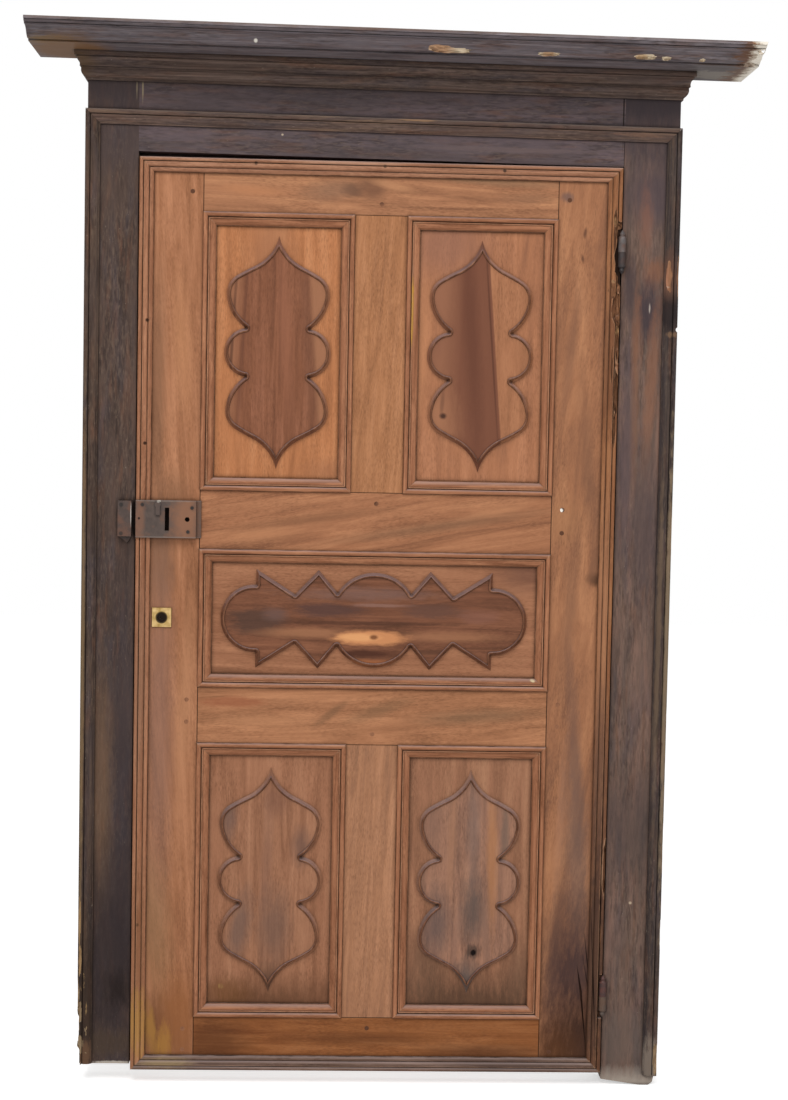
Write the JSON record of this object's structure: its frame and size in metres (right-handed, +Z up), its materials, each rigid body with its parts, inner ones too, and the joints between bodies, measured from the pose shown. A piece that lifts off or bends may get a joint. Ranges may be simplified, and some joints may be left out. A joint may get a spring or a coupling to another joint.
{
  "type": "panelled door with frame",
  "caption": "Old walnut frame-and-panel door leaf with raised shaped cartouches, iron rim lock and lift-off hinges, hung in a dark painted frame with a deep cornice.",
  "frame": {"origin": "on the wall plane, in the middle of the hinge jamb's foot", "axes": "+X to the right as seen from the room, +Y into the wall, +Z up"},
  "size_m": [1.4773, 0.232, 2.1895],
  "materials": {
    "walnut": "old oiled walnut, worn and dusty",
    "painted_wood": "dark brown paint, worn through at the edges",
    "iron": "dark wrought iron with some rust",
    "brass": "tarnished brass"
  },
  "bodies": {
    "frame": {"left_jamb": "painted_wood", "right_jamb": "painted_wood", "head_board": "painted_wood", "architrave_left": "painted_wood", "architrave_top": "painted_wood", "architrave_right": "painted_wood", "cornice_bed": "painted_wood", "cornice_crown": "painted_wood", "lock_keeper": "iron", "keeper_nails": "iron", "upper_hinge_jamb_half": "iron", "lower_hinge_jamb_half": "iron", "upper_hinge_pin": "iron", "lower_hinge_pin": "iron"},
    "leaf": {"lock_stile": "walnut", "hinge_stile": "walnut", "top_rail": "walnut", "lock_rail": "walnut", "lower_rail": "walnut", "bottom_rail": "walnut", "upper_muntin": "walnut", "lower_muntin": "walnut", "upper_left_panel": "walnut", "upper_right_panel": "walnut", "middle_panel": "walnut", "lower_left_panel": "walnut", "lower_right_panel": "walnut", "upper_left_moulding": "walnut", "upper_right_moulding": "walnut", "middle_moulding": "walnut", "lower_left_moulding": "walnut", "lower_right_moulding": "walnut", "upper_left_cartouche": "walnut", "upper_right_cartouche": "walnut", "middle_cartouche": "walnut", "lower_left_cartouche": "walnut", "lower_right_cartouche": "walnut", "edge_moulding_top": "walnut", "edge_moulding_left": "walnut", "edge_moulding_bottom": "walnut", "edge_moulding_right": "walnut", "joint_pegs": "walnut", "lock_case": "iron", "lock_nails": "iron", "bolt_spring": "iron", "spring_stud": "iron", "escutcheon": "brass", "lock_cylinder": "brass", "upper_hinge_leaf_half": "iron", "lower_hinge_leaf_half": "iron"},
    "bolt": {"lock_bolt": "iron"}
  },
  "joints": [
    {"name": "leaf_swing", "type": "hinge", "parent": "frame", "child": "leaf", "pos_m": [-0.0505, -0.0785, 1], "axis": [0, 0, 1], "range_deg": [0, 165]},
    {"name": "bolt_slide", "type": "slide", "parent": "leaf", "child": "bolt", "axis": [-1, 0, 0], "range_m": [0, 0.02]}
  ]
}
